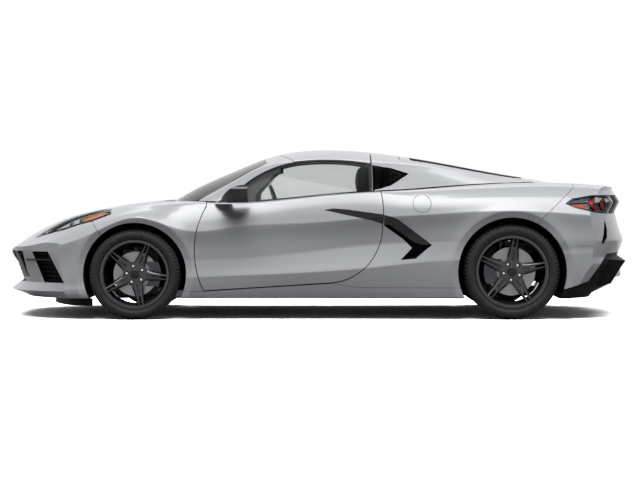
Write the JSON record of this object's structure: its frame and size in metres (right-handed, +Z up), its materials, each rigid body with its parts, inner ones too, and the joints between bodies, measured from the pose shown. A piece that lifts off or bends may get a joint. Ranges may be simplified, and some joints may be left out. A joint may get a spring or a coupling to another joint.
{
  "type": "coupe car",
  "caption": "Mid-engined two-seat sports coupe with opening doors, front lid, rear hatch, lift-off roof panel and steered front wheels.",
  "frame": {"origin": "on the ground, under the middle of the car's length and width", "axes": "+Z up, nose towards -X, left-hand side towards -Y"},
  "size_m": [4.6298, 2.08, 1.2339],
  "materials": {
    "aluminium": "cast",
    "matte_plastic": "satin black",
    "body_paint": "silver metallic, gloss",
    "glass": "tinted",
    "gloss_plastic": "gloss black",
    "brushed_steel": "satin",
    "leather": "grained",
    "cast_iron": "turned",
    "wheel_paint": "dark grey gloss",
    "tyre": "matt"
  },
  "bodies": {
    "chassis": {"cabin_tub": "aluminium", "floor_pan": "matte_plastic", "side_sills": "body_paint", "front_bumper": "body_paint", "front_intakes": "matte_plastic", "headlamps": "glass", "air_dam": "matte_plastic", "front_fenders": "body_paint", "cowl": "matte_plastic", "windscreen_frame": "body_paint", "windscreen": "glass", "rear_roof": "body_paint", "quarter_glass": "glass", "rear_quarters": "body_paint", "fuel_flap": "body_paint", "side_intakes": "gloss_plastic", "rear_bumper": "body_paint", "rear_diffuser": "matte_plastic", "exhaust": "brushed_steel", "tail_lamps": "glass", "engine": "aluminium", "gearbox": "aluminium", "seats": "leather", "dashboard": "matte_plastic", "console": "leather", "wheel_liners": "matte_plastic", "front_suspension": "cast_iron", "rear_suspension": "cast_iron", "half_shafts": "cast_iron", "luggage_tubs": "matte_plastic"},
    "bonnet": {"bonnet": "body_paint"},
    "hatch": {"hatch": "body_paint", "hatch_glass": "glass"},
    "roof_panel": {"roof_panel": "body_paint"},
    "steering_wheel": {"steering_wheel": "leather"},
    "door_left": {"door_left": "body_paint", "door_glass_left": "glass", "mirror_left": "gloss_plastic", "door_blade_left": "gloss_plastic"},
    "knuckle_left": {"knuckle_left": "cast_iron"},
    "wheel_front_left": {"wheel_front_left": "wheel_paint", "tyre_front_left": "tyre", "brake_disc_front_left": "cast_iron"},
    "wheel_rear_left": {"wheel_rear_left": "wheel_paint", "tyre_rear_left": "tyre", "brake_disc_rear_left": "cast_iron"},
    "door_right": {"door_right": "body_paint", "door_glass_right": "glass", "mirror_right": "gloss_plastic", "door_blade_right": "gloss_plastic"},
    "knuckle_right": {"knuckle_right": "cast_iron"},
    "wheel_front_right": {"wheel_front_right": "wheel_paint", "tyre_front_right": "tyre", "brake_disc_front_right": "cast_iron"},
    "wheel_rear_right": {"wheel_rear_right": "wheel_paint", "tyre_rear_right": "tyre", "brake_disc_rear_right": "cast_iron"}
  },
  "joints": [
    {"name": "steer_left", "type": "hinge", "parent": "chassis", "child": "knuckle_left", "pos_m": [-1.337, -0.77, 0.327], "axis": [0, 0, 1], "range_deg": [-35, 35]},
    {"name": "spin_front_left", "type": "hinge", "parent": "knuckle_left", "child": "wheel_front_left", "pos_m": [-1.337, -0.824, 0.327], "axis": [0, 1, 0], "continuous": true},
    {"name": "spin_rear_left", "type": "hinge", "parent": "chassis", "child": "wheel_rear_left", "pos_m": [1.386, -0.793, 0.3455], "axis": [0, 1, 0], "continuous": true},
    {"name": "door_left_hinge", "type": "hinge", "parent": "chassis", "child": "door_left", "pos_m": [-0.88, -0.936, 0.5], "axis": [0, 0, -1], "range_deg": [0, 62]},
    {"name": "steer_right", "type": "hinge", "parent": "chassis", "child": "knuckle_right", "pos_m": [-1.337, 0.77, 0.327], "axis": [0, 0, 1], "range_deg": [-35, 35]},
    {"name": "spin_front_right", "type": "hinge", "parent": "knuckle_right", "child": "wheel_front_right", "pos_m": [-1.337, 0.824, 0.327], "axis": [0, 1, 0], "continuous": true},
    {"name": "spin_rear_right", "type": "hinge", "parent": "chassis", "child": "wheel_rear_right", "pos_m": [1.386, 0.793, 0.3455], "axis": [0, 1, 0], "continuous": true},
    {"name": "door_right_hinge", "type": "hinge", "parent": "chassis", "child": "door_right", "pos_m": [-0.88, 0.936, 0.5], "axis": [0, 0, 1], "range_deg": [0, 62]},
    {"name": "steering_wheel_turn", "type": "hinge", "parent": "chassis", "child": "steering_wheel", "pos_m": [-0.312, -0.365, 0.8], "axis": [0.9397, 0, 0.342], "range_deg": [-550, 550]},
    {"name": "bonnet_hinge", "type": "hinge", "parent": "chassis", "child": "bonnet", "pos_m": [-1.213, 0, 0.85], "axis": [0, 1, 0], "range_deg": [0, 50]},
    {"name": "hatch_hinge", "type": "hinge", "parent": "chassis", "child": "hatch", "pos_m": [0.592, 0, 1.19], "axis": [0, -1, 0], "range_deg": [0, 55]},
    {"name": "roof_panel_lift", "type": "slide", "parent": "chassis", "child": "roof_panel", "axis": [0, 0, 1], "range_m": [0, 0.25]}
  ],
  "couplings": [
    {"joint": "steer_right", "follows": "steer_left", "ratio": 1},
    {"joint": "steering_wheel_turn", "follows": "steer_left", "ratio": 15.7}
  ]
}
